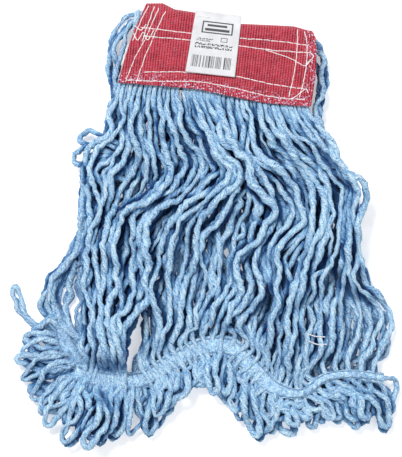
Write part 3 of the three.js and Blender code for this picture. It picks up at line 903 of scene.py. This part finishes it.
# Each layer of loops, from the floor up. straight, gather and sway shape its courses. reach is how far
# its loops go towards the tips, and stray how far they miss them. squeeze is how much of its radius a
# strand keeps clear of those below. hem_z and band_z are the heights at which the headband and the tail
# band hold them. hem_top and lining_top keep them between the headband's cover and its lining, and limit
# is the height that they don't pass.
BACK_HEM_Z = 2 * MIDDLE_Z - MAT_Z
LAYERS = {
    "back_low": dict(straight=0.0, gather=0.5, sway=6.0, reach=(0.60, 0.92), stray=9, squeeze=0.58,
                     hem_z=BACK_HEM_Z - 1.4, band_z=3.0, hem_top=BACK_HEM_Z + 3, lining_top=0, limit=11),
    "back_high": dict(straight=0.0, gather=0.5, sway=5.0, reach=(0.84, 1.02), stray=5, squeeze=0.62,
                      hem_z=BACK_HEM_Z + 1.4, band_z=6.0, hem_top=BACK_HEM_Z + 6, lining_top=0, limit=18),
    "front_low": dict(straight=0.7, gather=0.5, sway=6.5, reach=(0.55, 0.90), stray=11, squeeze=0.58,
                      hem_z=MAT_Z - 3.4, band_z=9.5, hem_top=COVER_UNDERSIDE - 5,
                      lining_top=LINING_TOP, limit=25),
    "front_middle": dict(straight=0.3, gather=0.7, sway=5.5, reach=(0.66, 0.96), stray=9, squeeze=0.64,
                         hem_z=MAT_Z - 1.2, band_z=11.5, hem_top=COVER_UNDERSIDE - 2.5,
                         lining_top=LINING_TOP, limit=32),
    "front_high": dict(straight=0.0, gather=0.75, sway=3.8, reach=(0.88, 1.05), stray=6, squeeze=0.85,
                       hem_z=MAT_Z + 0.4, band_z=13.5, hem_top=COVER_UNDERSIDE,
                       lining_top=LINING_TOP, limit=41),
}

heap = Heap()
back_blocks = [(BACK_LEFT, 3, 6), (BACK_RIGHT, 5, 15)]
front_blocks = [(FRONT_LEFT, 2, 7), (FRONT_RIGHT, 6, 16)]
back_low = lay_layer(heap, back_blocks, BACK_TAIL, BACK_TIPS, LAYERS["back_low"])
back_high = lay_layer(heap, back_blocks, BACK_TAIL, BACK_TIPS, LAYERS["back_high"])
back_slipped = lay_slipped(heap, [fringe_loop(BACK_TAIL, *loop) for loop in BACK_FRINGE], LAYERS["back_high"])
front_low = lay_layer(heap, front_blocks, FRONT_TAIL, FRONT_TIPS, LAYERS["front_low"])
front_middle = lay_layer(heap, front_blocks, FRONT_TAIL, FRONT_TIPS, LAYERS["front_middle"])
bulge_loops = lay_slipped(heap, [slipped_loop(points, 2.0) for points in BULGE_LOOPS], LAYERS["front_middle"])
front_slipped = lay_slipped(heap, [fringe_loop(FRONT_TAIL, *loop) for loop in FRONT_FRINGE],
                            LAYERS["front_middle"])
front_high = lay_layer(heap, front_blocks, FRONT_TAIL, FRONT_TIPS, LAYERS["front_high"])

# The brims set the yarn's painted shade: each half's own brims, and the whole heap's where one half covers
# the other.
heap.find_brims()
front_heap = Heap(front_low + front_middle + front_high + bulge_loops + front_slipped)
back_heap = Heap(back_low + back_high + back_slipped)
front_heap.find_brims()
back_heap.find_brims()


def hang_on_skirt(piece):
    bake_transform(piece)


def grouped(loops, groups):
    """Loops shared out in order into so many groups."""
    return [[loops[i] for i in part] for part in np.array_split(np.arange(len(loops)), groups)]


for number, (path, radius) in enumerate(front_high, 1):
    loop = yarn_piece(f"front_loop_{number:02d}", [(path, radius)], front_heap, YARN)
    hang_on_skirt(loop)

FRINGE_OF_BUNDLE = {1: "far_left", 3: "left", 4: "middle", 6: "right", 8: "far_right"}
front_groups = zip(grouped(front_low, 8), grouped(front_middle, 8))
for number, (low, middle) in enumerate(front_groups, 1):
    bundle = yarn_piece(f"front_yarn_{number}", low + middle, front_heap, YARN)
    hang_on_skirt(bundle)
    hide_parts(f"front_yarn_bundle_{number}")
    if number in FRINGE_OF_BUNDLE:
        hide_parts(f"front_fringe_{FRINGE_OF_BUNDLE[number]}")

BACK_FRINGE_OF_BUNDLE = {1: "far_left", 2: "left", 3: "middle", 5: "right"}
for number, (low, high) in enumerate(zip(grouped(back_low, 5), grouped(back_high, 5)), 1):
    bundle = yarn_piece(f"back_yarn_{number}", low + high, back_heap, BACK_YARN)
    attach(bundle, "back_leaf", "back_yarn", f"back_yarn_bundle_{number}")
    if number in BACK_FRINGE_OF_BUNDLE:
        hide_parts(f"back_fringe_{BACK_FRINGE_OF_BUNDLE[number]}")


slipped = {
    "front_bulge_loops": (bulge_loops, front_heap, YARN, "front_skirt", "front_yarn"),
    "front_fringe_loops": (front_slipped, front_heap, YARN, "front_skirt", "front_yarn"),
    "back_fringe_loops": (back_slipped, back_heap, BACK_YARN, "back_leaf", "back_yarn"),
}
for name, (strands, half, material, body, slot) in slipped.items():
    attach(yarn_piece(name, strands, half, material), body, slot)


# ---- slack strands -----------------------------------------------------------------------------

SLACK = {
    "slack_yarn_left": [
        [(-97, 92), (-103, 108), (-105, 126), (-111, 142), (-111, 156), (-103, 169), (-96, 179), (-84, 183)],
        [(-92, 96), (-99, 112), (-108, 128), (-107, 146), (-105, 160), (-97, 171), (-86, 178)],
        [(-95, 102), (-102, 120), (-101, 136), (-104, 150), (-98, 164), (-93, 174), (-82, 176)],
        [(-90, 100), (-101, 114), (-103, 134), (-97, 150), (-97, 163), (-92, 172), (-80, 181)],
    ],
    "slack_yarn_right": [
        [(70, 80), (78, 98), (76, 116), (78, 134), (76, 150), (71, 164), (66, 173), (56, 178)],
        [(68, 88), (72, 106), (75, 124), (72, 142), (73, 156), (66, 168), (55, 172)],
        [(64, 92), (74, 110), (70, 130), (71, 146), (68, 160), (58, 168)],
        [(66, 84), (77, 102), (71, 118), (76, 130), (70, 148), (71, 162), (60, 170)],
    ],
}
STRAY = [(-112, -94), (-130, -95), (-146, -92), (-156, -85), (-160, -76), (-163, -68), (-166, -62),
         (-169, -65), (-166, -75), (-160, -84), (-150, -93), (-136, -98), (-112, -101)]
floor_heap = Heap()


def lay_on_floor(points, sway):
    """Lays one slack strand on the floor and on those before it. Gives its path and its radii."""
    path = slipped_loop(points, sway)
    radius = YARN_RADIUS * np.full(len(path), rng.uniform(0.72, 0.9)) * (
        1 + 0.25 * blurred(rng.normal(size=len(path)), 3))
    z = drape(floor_heap.support(path, radius))
    floor_heap.add(path, z, radius)
    return np.column_stack([path, z]), radius


slack = {name: [lay_on_floor(route, 2.4) for route in routes] for name, routes in SLACK.items()}
stray_path, stray_radius = lay_on_floor(STRAY, 1.0)
# Its brims set the painted shade of the slack strands and the stray strand.
floor_heap.find_brims()

for name, strands in slack.items():
    for number, (path, radius) in enumerate(strands, 1):
        strand = yarn_piece(f"{name}_{number}", [(path, radius)], floor_heap, BACK_YARN)
        attach(strand, "back_leaf", "back_yarn", *([name] if number == 1 else []))

stray = yarn_piece("stray_strand", [(stray_path, stray_radius)], floor_heap, BACK_YARN)
attach(stray, "back_leaf", "back_yarn", "stray_loop")


# ---- headband ----------------------------------------------------------------------------------

HEM_LINE = [(-99, 119.5), (-60, 121), (-30, 121.5), (0, 118.5), (25, 116.5), (48, 117), (66, 118)]
CREST_LINE = [(-84, 189.5), (-72, 191), (-60, 187), (-35, 186), (0, 181), (30, 183), (48, 184), (60, 182)]
LEFT_EDGE = [(118, -98.5), (140, -95), (165, -90), (175, -86), (190, -82)]
RIGHT_EDGE = [(118, 65.5), (145, 66.5), (165, 65), (176, 63), (186, 57)]
COVER_THICKNESS = 0.9
LINING_THICKNESS = 0.7
LINING_RIGHT = 61.5
LINING_CLEARANCE = 6.6   # from the cover's crest to the lining's, and
MAT_CLEARANCE = 3.5      # to the middle of the inner yarn's
MAT_RADIUS = 2.7
LONG_ROWS = {
    "upper_row_a": [(-85, 168), (-40, 168), (0, 168.5), (30, 169.5), (58, 169)],
    "upper_row_b": [(-82, 161), (-40, 162), (0, 162), (30, 161.5), (60, 163)],
    "lower_row_a": [(-78, 131), (-40, 135), (0, 136), (30, 133), (59, 132)],
    "lower_row_b": [(-91, 122.5), (-60, 125), (-30, 128), (0, 126), (30, 122.5), (60, 123)],
}
SIDE_ROWS = {
    "left_row_a": [(-92, 121), (-87, 140), (-80, 158), (-75.5, 172), (-71, 186)],
    "left_row_b": [(-83, 121), (-79, 140), (-74, 158), (-69.5, 172), (-65, 184)],
    "right_row_a": [(46, 124), (48.5, 145), (48, 172), (47, 181)],
    "right_row_b": [(55, 124), (57.5, 145), (56, 172), (53, 180)],
}


def relief(x, y):
    """How far the cover stands proud: padded between its rows of stitches, drawn in at them."""
    away = np.full(np.shape(x), 99.0)
    for row in LONG_ROWS.values():
        away = np.minimum(away, np.abs(y - along_line(row, x)))
    for row in SIDE_ROWS.values():
        xs = along_line([(b, a) for a, b in row], y)
        away = np.minimum(away, np.abs(x - xs) + np.maximum(0, y - 173))
    padded = 1.1 * (1 - np.exp(-(away / 4.0) ** 2)) - 0.7
    waves = 0.5 * np.sin(x / 13 + 1.2 * np.sin(y / 19)) + 0.4 * np.sin(y / 11 + x / 31)
    return padded + 0.6 * waves


def cover_height(x, y):
    """Height of the front cover's middle surface above any point of the headband."""
    crest = along_line(CREST_LINE, x) - FOLD_Y
    over = np.clip((y - FOLD_Y) / crest, 0, 0.97)
    return MIDDLE_Z + COVER_RADIUS * (1 - over**3) ** (1 / 3) + relief(x, y) * (1 - over**4)


def cover_grid(columns, front_rows, fold_rows, back_rows):
    """Points of the folded cover: up the front, over the fold and down the back."""
    share = np.linspace(0, 1, columns)[None]
    low_x = LEFT_EDGE[0][1] + (RIGHT_EDGE[0][1] - LEFT_EDGE[0][1]) * share
    hem = along_line(HEM_LINE, low_x)

    def across(y):
        left, right = along_line(LEFT_EDGE, y), along_line(RIGHT_EDGE, y)
        return left + (right - left) * share

    def ribs(x):
        return 0.35 * np.abs(np.sin(np.pi * x / RIB_PITCH))

    def flat_rows(shares, side):
        y = hem + (FOLD_Y - hem) * shares[:, None]
        x = across(y)
        z = MIDDLE_Z + side * (COVER_RADIUS + relief(x, y) + ribs(x))
        return np.stack([x, y, z], axis=-1)

    angle = np.linspace(math.pi / 2, -math.pi / 2, fold_rows + 2)[1:-1, None]
    reach = np.abs(np.cos(angle)) ** (2 / 3)
    rise = np.sign(np.sin(angle)) * np.abs(np.sin(angle)) ** (2 / 3)
    crest = along_line(CREST_LINE, across(FOLD_Y)) - FOLD_Y
    y = FOLD_Y + crest * reach
    x = across(y)
    padding = relief(x, np.full_like(x, FOLD_Y)) * np.abs(rise) ** 4
    z = MIDDLE_Z + rise * (COVER_RADIUS + ribs(x) + padding)
    fold = np.stack([x, y + ribs(x) * reach, z], axis=-1)
    front = flat_rows(np.linspace(0, 1, front_rows), 1)
    back = flat_rows(np.linspace(1, 0, back_rows), -1)
    return np.concatenate([front, fold, back])


def bend_at_fold(piece):
    """Bakes the piece's placement into its corners."""
    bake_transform(piece)


def make_cover():
    """The cover, with how near its hem or its right edge each point is, for the pale dots there."""
    grid = cover_grid(300, 50, 30, 34)
    to_hem = grid[..., 1] - along_line(HEM_LINE, grid[..., 0])
    to_right = along_line(RIGHT_EDGE, grid[..., 1]) - grid[..., 0]
    margin = np.maximum(1 - to_hem / 13, 1 - to_right / 12)
    cover = shell_piece("headband_cover", grid, COVER_THICKNESS, MESH_CLOTH,
                        {"margin": np.clip(margin * 1.6, 0.12, 1)})
    bend_at_fold(cover)
    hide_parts("headband_front_panel", "headband_back_panel", "headband_fold_cover")


def make_lining():
    """The lining: flat halves, and a fold that keeps inside the yarn's."""
    half_gap = (LINING_LOW[2] + LINING_HIGH[2]) / 2 - MIDDLE_Z
    share = np.linspace(0, 1, 60)[None]
    front = np.linspace(LINING_LOW[1], FOLD_Y, 24)[:, None]
    angle = np.linspace(math.pi / 2, -math.pi / 2, 12)[1:-1, None]
    y = np.concatenate([front, FOLD_Y + 0 * angle, front[::-1]])
    z = np.concatenate([0 * front + half_gap, half_gap * np.sin(angle), 0 * front - half_gap]) + MIDDLE_Z
    round_fold = np.concatenate([0 * front, np.cos(angle), 0 * front])
    left = np.interp(y, [LINING_LOW[1], FOLD_Y], [-93, -83])
    x = left + (LINING_RIGHT - left) * share
    reach = np.clip(along_line(CREST_LINE, x) - FOLD_Y - LINING_CLEARANCE, 0.4, half_gap)
    y = y + reach * round_fold
    grid = np.stack([x, y, z + 0.25 * np.sin(x / 9 + y / 14)], axis=-1)
    lining = shell_piece("headband_lining_sheet", grid, LINING_THICKNESS, LINING_CLOTH)
    bend_at_fold(lining)
    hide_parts("headband_front_lining", "headband_back_lining", "headband_fold_lining")


def make_mat():
    """The yarn inside the headband, laid side by side and folded with it."""
    half_gap = MAT_Z - MIDDLE_Z
    strands = []
    for x in np.linspace(-89, 58, 29):
        shift = rng.uniform(-0.6, 0.6)
        lean = (-0.06 if x < -40 else 0.0) * (x + 40) / 50
        flat = [(x + shift, y) for y in (126, 150, FOLD_Y)]
        angle = np.linspace(-math.pi / 2, math.pi / 2, 9)[1:-1]
        points = [(px, py, MIDDLE_Z - half_gap) for px, py in flat]
        reach = min(half_gap, along_line(CREST_LINE, x) - FOLD_Y - MAT_CLEARANCE)
        points += [(x + shift, FOLD_Y + reach * math.cos(turn), MIDDLE_Z + half_gap * math.sin(turn))
                   for turn in angle]
        points += [(px + lean, py, MIDDLE_Z + half_gap) for px, py in flat[::-1]]
        path = curve_through(points, 3.0)
        strands.append((path, np.full(len(path), MAT_RADIUS)))
    mat = yarn_piece("headband_yarn", strands, None, BACK_YARN)
    bend_at_fold(mat)
    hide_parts("front_yarn_mat", "back_yarn_mat", "yarn_fold")


STITCH = 6.5             # length of one stitch
THREAD_STEP = 0.55       # between two rings of a thread
THREAD_RADIUS = 0.42


def sewn(points, side, stitch=STITCH, lift=0.75, depth=0.8):
    """Path of a sewing thread that lies on the cover, and dives into it at each stitch's end."""
    path = evenly_spaced(curve_through(points, 1.0), THREAD_STEP)
    run = np.arange(len(path)) * THREAD_STEP
    jitter = np.column_stack([blurred(rng.normal(size=len(path)), 8) for _ in range(2)])
    path = path + 0.35 * jitter
    dip = depth * (1 - np.abs(np.sin(np.pi * run / stitch)) ** 0.3)
    height = cover_height(path[:, 0], path[:, 1]) - MIDDLE_Z + lift - dip
    return np.column_stack([path, MIDDLE_Z + side * height])


def make_rows():
    rows = {**LONG_ROWS, **SIDE_ROWS}
    for half, side, body in (("front", 1, "front_leaf"), ("back", -1, "back_leaf")):
        for name, points in rows.items():
            points = [(x, y) for x, y in points if side > 0 or y <= FOLD_Y]
            row = tube_piece(f"{half}_{name}_thread", [sewn(points, side)], THREAD_RADIUS, WHITE_THREAD)
            attach(row, body, "white_thread", f"{half}_{name}")


LOOSE_THREAD = [(22, 161), (45, 156), (57, 151.5), (60.5, 156)]
TANGLES = [
    [(-90, 156), (-86, 170), (-80, 187)],
    [(-82, 156), (-79, 170), (-75, 187)],
    [(-90, 163), (-86, 157), (-82, 164), (-78, 158), (-73, 167)],
    [(-90, 169), (-84, 166), (-80, 171)],
    [(60, 163), (63, 160), (60, 156), (57, 152)],
    [(48, 122), (54, 127), (60, 132), (62, 129)],
]


def make_loose_threads():
    loose = tube_piece("front_trailing_thread", [sewn(LOOSE_THREAD, 1, 9, 0.8, 0.4)], 0.38, WHITE_THREAD)
    attach(loose, "front_leaf", "white_thread", "front_loose_thread")
    tangled = [sewn(line, 1, 7, 0.8, 0.4) for line in TANGLES]
    tangles = tube_piece("front_thread_tangles", tangled, 0.40, WHITE_THREAD)
    attach(tangles, "front_leaf", "white_thread")


make_cover()
make_lining()
make_mat()
make_rows()
make_loose_threads()


# ---- label -------------------------------------------------------------------------------------

LABEL_TOP = box_mm("label_sewn_end")[1][1]
LABEL_THICKNESS = 0.35
LABEL_SEAM_Y = 183.0
LABEL_CLEARANCE = 1.4    # from the middle of the cover to the middle of the label


def label_height(x, y):
    """Height of the label: on the cover, held down at its seam, free of it beyond the fold."""
    seam = cover_height(x, np.minimum(y, LABEL_SEAM_Y))
    smooth = MIDDLE_Z + COVER_RADIUS + 0.2
    flat = np.where(y < FOLD_Y, smooth, np.minimum(smooth, seam + 0.4))
    beyond = np.maximum(0, y - LABEL_SEAM_Y) * 0.35
    curl = 1.6 * smoothstep((LABEL_LOW[1] + 16 - y) / 16) * (0.4 + 0.6 * smoothstep((x + 20) / 18))
    return flat + 1.1 + curl - beyond


def make_label():
    y = np.linspace(LABEL_LOW[1], LABEL_TOP, 56)[:, None]
    share = np.linspace(0, 1, 42)[None]
    left = np.interp(y, [LABEL_LOW[1], LABEL_TOP], [LABEL_LOW[0] - 1, LABEL_LOW[0] + 2])
    x = left + (LABEL_HIGH[0] - left) * share
    y = y + 0 * x
    z = label_height(x, y)
    z = np.column_stack([blurred(z[:, k], 10) for k in range(z.shape[1])])
    z = np.maximum(z, cover_height(x, y) + LABEL_CLEARANCE)
    grid = np.stack([x, y, z], axis=-1)
    up = (y - LABEL_LOW[1]) / (LABEL_TOP - LABEL_LOW[1])
    label = shell_piece("label_sheet", grid, LABEL_THICKNESS, LABEL_FILM, {"across": share + 0 * x, "up": up})
    across = label.data.attributes["across"].data
    for corner in range(len(across) // 2, len(across)):
        across[corner].value = -1.0          # nothing is printed on its back
    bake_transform(label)
    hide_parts("label_flap", "label_sewn_end")

    xs = np.arange(LABEL_LOW[0] + 3, LABEL_HIGH[0] - 2, THREAD_STEP)
    seam_row = np.argmin(np.abs(grid[:, 0, 1] - LABEL_SEAM_Y))
    seam_z = np.interp(xs, x[seam_row], grid[seam_row, :, 2])
    dip = 0.7 * (1 - np.abs(np.sin(np.pi * xs / STITCH)) ** 0.5)
    seam = np.column_stack([xs, LABEL_SEAM_Y + 0.3 * np.sin(xs / 7), seam_z + 0.5 - dip])
    thread = tube_piece("label_seam", [seam], THREAD_RADIUS, WHITE_THREAD)
    attach(thread, "front_leaf", "white_thread", "label_stitch")


make_label()


# ---- tail bands --------------------------------------------------------------------------------

TAIL_ROWS = (-0.36, 0.36)      # rows of stitches, as shares of the band's width
TAIL_COLUMNS = 300             # points along a band, and
TAIL_LINES = 19                # across it
TAIL_STITCH_POINTS = 520       # points along each row of stitches
TAIL_THICKNESS = 2.0
TAIL_RIDGE = 5.4               # from one ridge of oversewn yarn to the next


def tail_surface(band, heap_used, place, offset):
    """Points on top of the yarn along a tail band."""
    xy = band.at(place, offset)
    return np.column_stack([xy, blurred(heap_used.highest(xy, 3), 50)])


def smooth_across(rows, times_over):
    """Evens out each row of a band's grid with the rows beside it."""
    for _ in range(times_over):
        rows[1:-1] = (rows[:-2] + 2 * rows[1:-1] + rows[2:]) / 4


def make_tail(half, band, heap_used, widths, lifts, material):
    """A band of matted, oversewn yarn that follows the top of the loops it holds."""
    place = np.linspace(0, 1, TAIL_COLUMNS)
    width = along_line(widths, place)
    shares = np.linspace(-0.5, 0.5, TAIL_LINES)
    rows = []
    for share in shares:
        ragged = 0.9 * blurred(rng.normal(size=TAIL_COLUMNS), 4) if abs(share) > 0.45 else 0
        rows.append(tail_surface(band, heap_used, place, share * width + ragged))
    grid = np.array(rows)
    smooth_across(grid[..., 2], 12)

    def uneven(times_over):
        return np.array([blurred(rng.normal(size=TAIL_COLUMNS), times_over) for _ in shares])

    matting = uneven(2)
    across = shares[:, None]
    sunk = sum(np.exp(-((across - row) / 0.05) ** 2) for row in TAIL_ROWS)
    crown = 1.0 - 10.0 * across**2
    drift = uneven(10)
    smooth_across(drift, 3)
    run = place[None] * len(band.line) + 0 * across
    lean = np.abs(across) * width[None] * 1.2
    ridges = np.abs(np.sin(np.pi * (run + lean + 7 * drift) / TAIL_RIDGE)) ** 0.7
    relief_height = 0.45 * matting + crown + ridges + along_line(lifts, place) - 0.4 * sunk
    grid[..., 2] += relief_height - TAIL_THICKNESS / 2
    grid[..., 2] = np.maximum(grid[..., 2], TAIL_THICKNESS / 2 + 0.5)
    body = "front_skirt" if half == "front" else "back_leaf"
    # Painted shade: darker between the ridges of oversewn yarn and along the rows that the stitches draw in.
    values = {"ply": np.clip(1 - sunk, 0, 1) + 0 * run, "depth": 0.42 * (1 - ridges) + 0.12 * sunk}
    matted = shell_piece(f"{half}_tail_matting", grid, TAIL_THICKNESS, material, values, level=True)
    fibre = np.stack([across * width[None], run, 0 * run + 50], axis=-1).reshape(-1, 3)
    fibre = np.vstack([fibre, fibre + 9]) * 0.9
    flat = fibre.astype(np.float32).reshape(-1)
    matted.data.attributes.new("fibre", "FLOAT_VECTOR", "POINT").data.foreach_set("vector", flat)
    attach(matted, body, "tail_band_yarn", f"{half}_tail_band")

    at = np.linspace(0.005, 0.995, TAIL_STITCH_POINTS)
    paths = []
    for row in TAIL_ROWS:
        share = row + 0.012 * blurred(rng.normal(size=TAIL_STITCH_POINTS), 10)
        offset = share * np.interp(at, place, width)
        nearest = int(round((row + 0.5) * (TAIL_LINES - 1)))
        z = np.interp(at, place, grid[nearest, :, 2]) + TAIL_THICKNESS / 2
        yarn = tail_surface(band, heap_used, at, offset)[:, 2]
        dip = 0.8 * (1 - np.abs(np.sin(np.pi * (at * len(band.line) / STITCH + row * 3))) ** 0.5)
        z = np.maximum(z, yarn - 2.2) + 0.45 - dip
        paths.append(np.column_stack([band.at(at, offset), z]))
    for name, path in zip(("lower", "upper"), paths):
        row = tube_piece(f"{half}_tail_sewing_{name}", [path], 0.4, BLUE_THREAD)
        attach(row, body, "blue_thread", f"{half}_tail_stitch_{name}")


make_tail("front", FRONT_TAIL, heap, [(0, 15), (0.62, 17), (0.74, 8), (1, 7)],
          [(0, -3.6), (0.2, -3.4), (0.3, -3.2), (0.58, -3.0), (0.70, 0.6), (1, 0.6)], YARN)
make_tail("back", BACK_TAIL, back_heap, [(0, 12), (0.1, 17), (1, 17)], [(0, -4), (1, -4)], BACK_YARN)

WHITE_BARTACKS = [[(84, -73), (92, -74.5), (100, -74)], [(86, -79), (94, -81), (102, -80)]]


def make_bartacks():
    paths = []
    for points in WHITE_BARTACKS:
        path = curve_through(points, 0.6)
        z = blurred(heap.highest(path, 2), 30) + 0.3
        paths.append(np.column_stack([path, z]))
    tacks = tube_piece("front_skirt_bartacks", paths, 0.5, WHITE_THREAD)
    attach(tacks, "front_skirt", "white_thread")


make_bartacks()


# ---- floor and light ---------------------------------------------------------------------------

FLOOR_GLOW = 0.42        # the floor is a light table, which keeps its shadows pale


def make_floor():
    size = 6.0
    mesh = bpy.data.meshes.new("floor")
    corners = [(-size, -size, 0), (size, -size, 0), (size, size, 0), (-size, size, 0)]
    mesh.from_pydata(corners, [], [(0, 1, 2, 3)])
    material, tree, shader = new_material("studio_floor", 0.95)
    place = add_node(tree, "ShaderNodeTexCoord").outputs["Object"]
    tone = ramp(tree, noise(tree, place, 30.0, 2.0), [(0.3, (0.93, 0.93, 0.93)), (0.7, (0.95, 0.95, 0.95))])
    tree.links.new(tone, shader.inputs["Base Color"])
    tree.links.new(tone, shader.inputs["Emission Color"])
    shader.inputs["Emission Strength"].default_value = FLOOR_GLOW
    mesh.materials.append(material)
    floor = bpy.data.objects.new("studio_floor", mesh)
    bpy.context.scene.collection.objects.link(floor)


def make_light(name, location, size, watts):
    data = bpy.data.lights.new(name, "AREA")
    data.shape = "DISK"
    data.size = size
    data.energy = watts
    light = bpy.data.objects.new(name, data)
    light.location = location
    direction = -light.location
    light.rotation_mode = "QUATERNION"
    light.rotation_quaternion = direction.to_track_quat("-Z", "Y")
    bpy.context.scene.collection.objects.link(light)


def make_studio():
    make_floor()
    make_light("key", (-0.9, 1.2, 2.2), 0.8, 50)
    make_light("fill", (1.2, -0.8, 2.2), 1.6, 10)
    world = bpy.data.worlds.new("studio")
    world.use_nodes = True
    world.node_tree.nodes["Background"].inputs["Color"].default_value = (0.97, 0.98, 1.0, 1)
    world.node_tree.nodes["Background"].inputs["Strength"].default_value = 0.50
    bpy.context.scene.world = world
    bpy.context.scene.view_settings.view_transform = "Standard"


make_studio()
